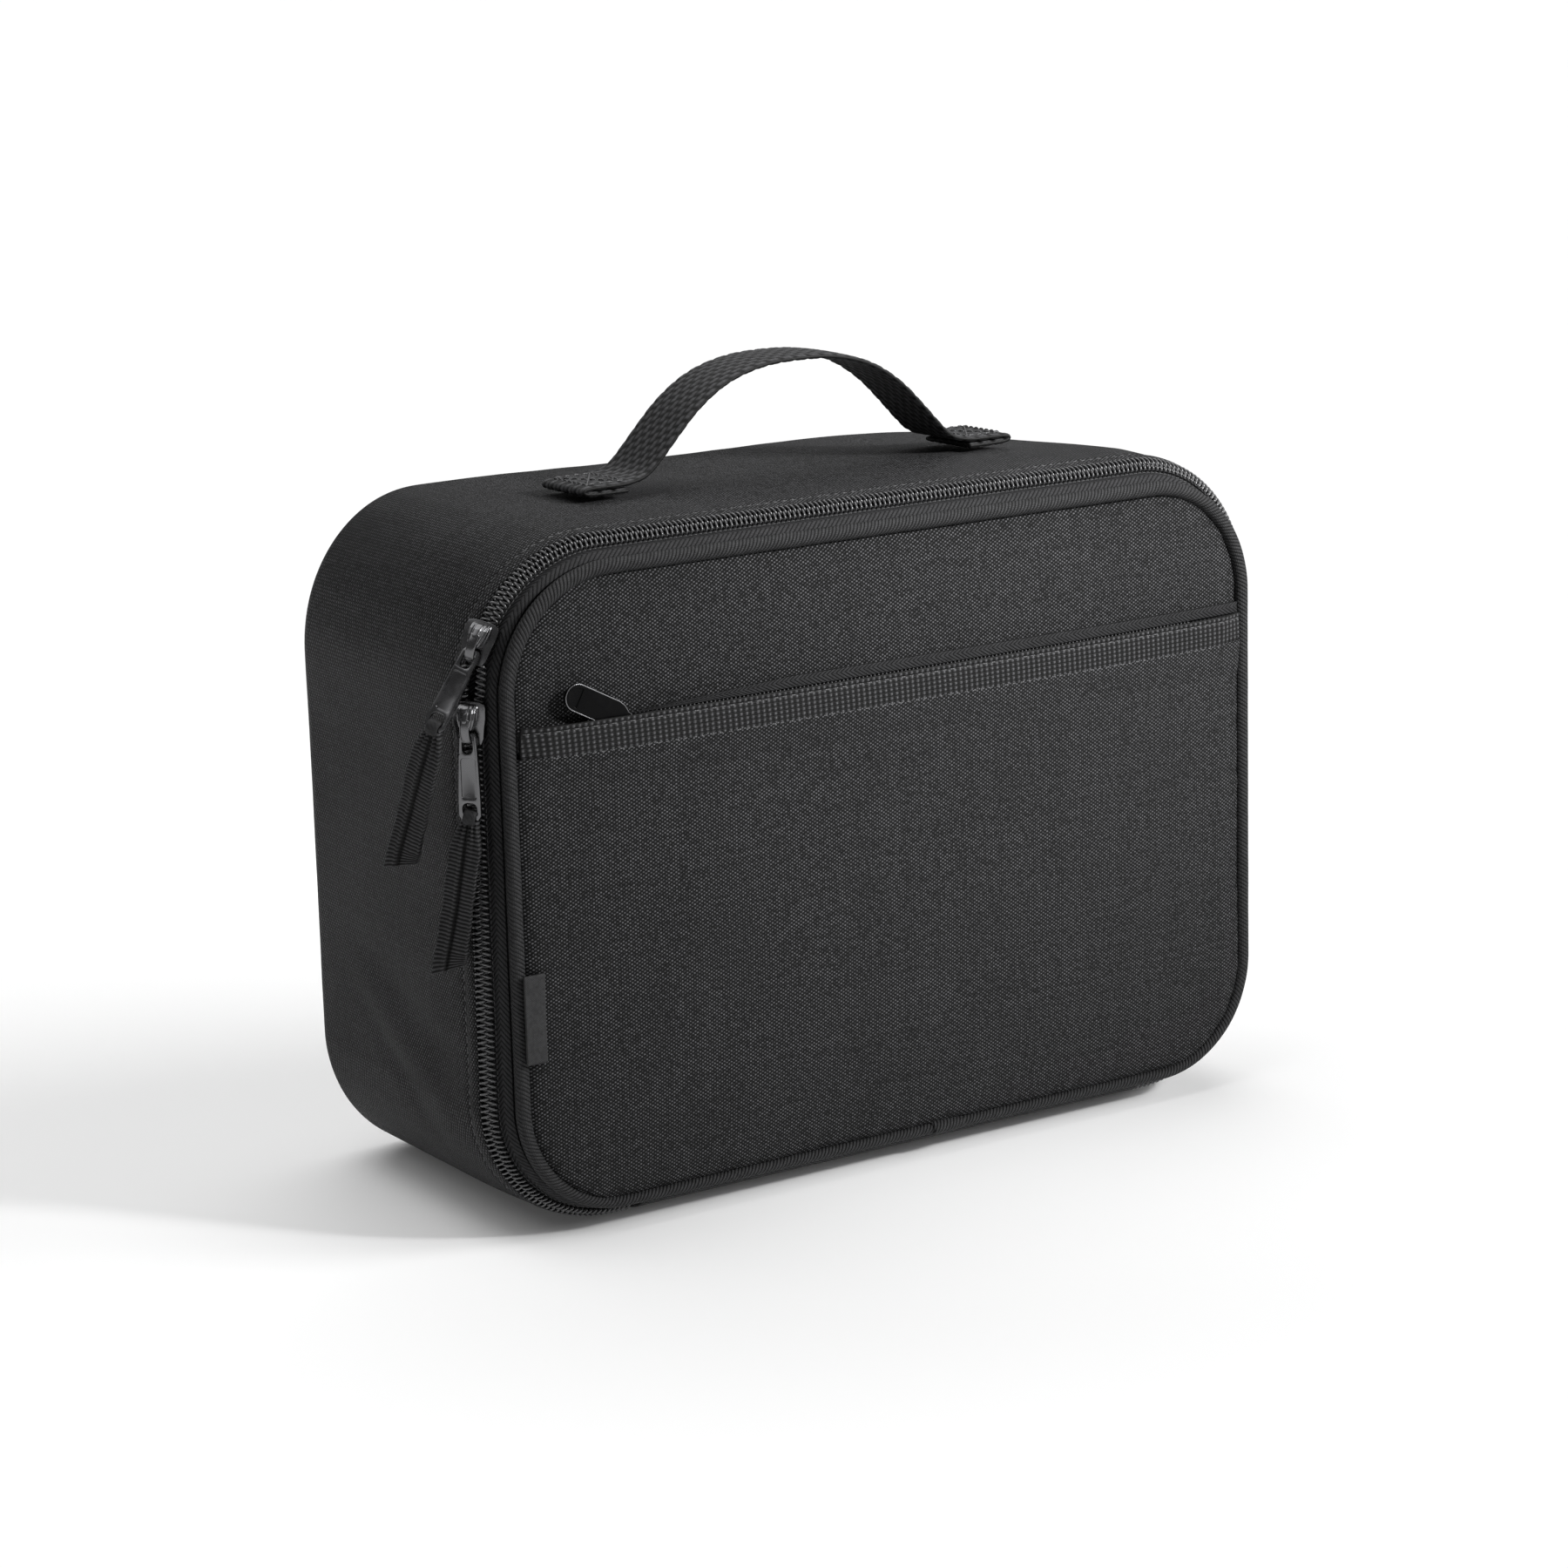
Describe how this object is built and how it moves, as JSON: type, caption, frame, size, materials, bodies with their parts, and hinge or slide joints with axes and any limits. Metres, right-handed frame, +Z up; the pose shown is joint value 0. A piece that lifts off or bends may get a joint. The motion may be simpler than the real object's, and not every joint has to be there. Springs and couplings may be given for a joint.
{
  "type": "insulated lunch box",
  "caption": "Soft insulated lunch box with a zip-round hinged front, flat front pocket, arched carry handle and ribbon-ended zip pulls.",
  "frame": {"origin": "centre of the flat base that the box stands on", "axes": "+X to the right seen from the front, +Y from the zipped front to the back, +Z up"},
  "size_m": [0.3238, 0.1346, 0.257],
  "materials": {
    "shell_cloth": "matte plain-weave polyester",
    "piping_cloth": "matte twill",
    "foam": "matte closed-cell foam",
    "liner": "satin embossed film",
    "binding": "matte grosgrain",
    "zip_tape": "matte herringbone",
    "zip_coil": "satin nylon",
    "webbing": "matte ribbed webbing",
    "gunmetal": "satin gunmetal",
    "black_enamel": "gloss black enamel",
    "ribbon": "matte grosgrain",
    "label": "satin woven"
  },
  "bodies": {
    "box": {"gusset_panel": "shell_cloth", "gusset_foam": "foam", "back_panel": "shell_cloth", "back_foam": "foam", "body_liner": "liner", "mouth_binding": "binding", "hinge_strip": "shell_cloth", "body_zip_tape": "zip_tape", "body_zip_coil": "zip_coil", "handle_end_left": "webbing", "handle_end_right": "webbing"},
    "lid": {"lid_panel": "shell_cloth", "lid_foam": "foam", "lid_liner": "liner", "lid_piping": "piping_cloth", "lid_binding": "binding", "lid_zip_tape": "zip_tape", "lid_zip_coil": "zip_coil", "pocket_panel": "shell_cloth", "pocket_lower_tape": "zip_tape", "pocket_upper_tape": "zip_tape", "pocket_zip_coil": "zip_coil", "pocket_band": "webbing", "side_label": "label"},
    "handle": {"handle_strap": "webbing"},
    "upper_slider": {"upper_slider_body": "gunmetal"},
    "upper_tab": {"upper_pull_tab": "gunmetal"},
    "upper_ribbon": {"upper_ribbon": "ribbon"},
    "lower_slider": {"lower_slider_body": "gunmetal"},
    "lower_tab": {"lower_pull_tab": "gunmetal"},
    "lower_ribbon": {"lower_ribbon": "ribbon"},
    "pocket_slider": {"pocket_slider_body": "black_enamel"},
    "pocket_tab": {"pocket_pull_tab": "black_enamel"}
  },
  "joints": [
    {"name": "lid_opening", "type": "hinge", "parent": "box", "child": "lid", "pos_m": [0, -0.063, 0.009], "axis": [1, 0, 0], "range_deg": [0, 90]},
    {"name": "handle_lean", "type": "hinge", "parent": "box", "child": "handle", "pos_m": [0, -0.003, 0.2235], "axis": [1, 0, 0], "range_deg": [-30, 30]},
    {"name": "upper_slider_run", "type": "hinge", "parent": "box", "child": "upper_slider", "pos_m": [-0.105, -0.0545, 0.171], "axis": [0, 1, 0], "range_deg": [0, 64]},
    {"name": "lower_slider_run", "type": "slide", "parent": "box", "child": "lower_slider", "axis": [0, 0, 1], "range_m": [-0.105, 0]},
    {"name": "upper_tab_swing", "type": "hinge", "parent": "upper_slider", "child": "upper_tab", "pos_m": [-0.15071, -0.05743, 0.18785], "axis": [-0.5127, 0.7696, 0.3806], "range_deg": [0, 110]},
    {"name": "upper_ribbon_swing", "type": "hinge", "parent": "upper_tab", "child": "upper_ribbon", "pos_m": [-0.16382, -0.05553, 0.16635], "axis": [-0.5145, 0.7802, 0.3558], "range_deg": [0, 60]},
    {"name": "lower_tab_swing", "type": "hinge", "parent": "lower_slider", "child": "lower_tab", "pos_m": [-0.15361, -0.05743, 0.1628], "axis": [-0.6293, 0.7771, 0], "range_deg": [0, 95]},
    {"name": "lower_ribbon_swing", "type": "hinge", "parent": "lower_tab", "child": "lower_ribbon", "pos_m": [-0.15361, -0.05743, 0.13755], "axis": [-0.6197, 0.7605, 0.1937], "range_deg": [0, 60]},
    {"name": "pocket_slider_run", "type": "slide", "parent": "lid", "child": "pocket_slider", "axis": [1, 0, 0], "range_m": [0, 0.2]},
    {"name": "pocket_tab_swivel", "type": "hinge", "parent": "pocket_slider", "child": "pocket_tab", "pos_m": [-0.104, -0.06826, 0.1622], "axis": [-0.014, -0.9999, 0], "range_deg": [-45, 0]}
  ]
}
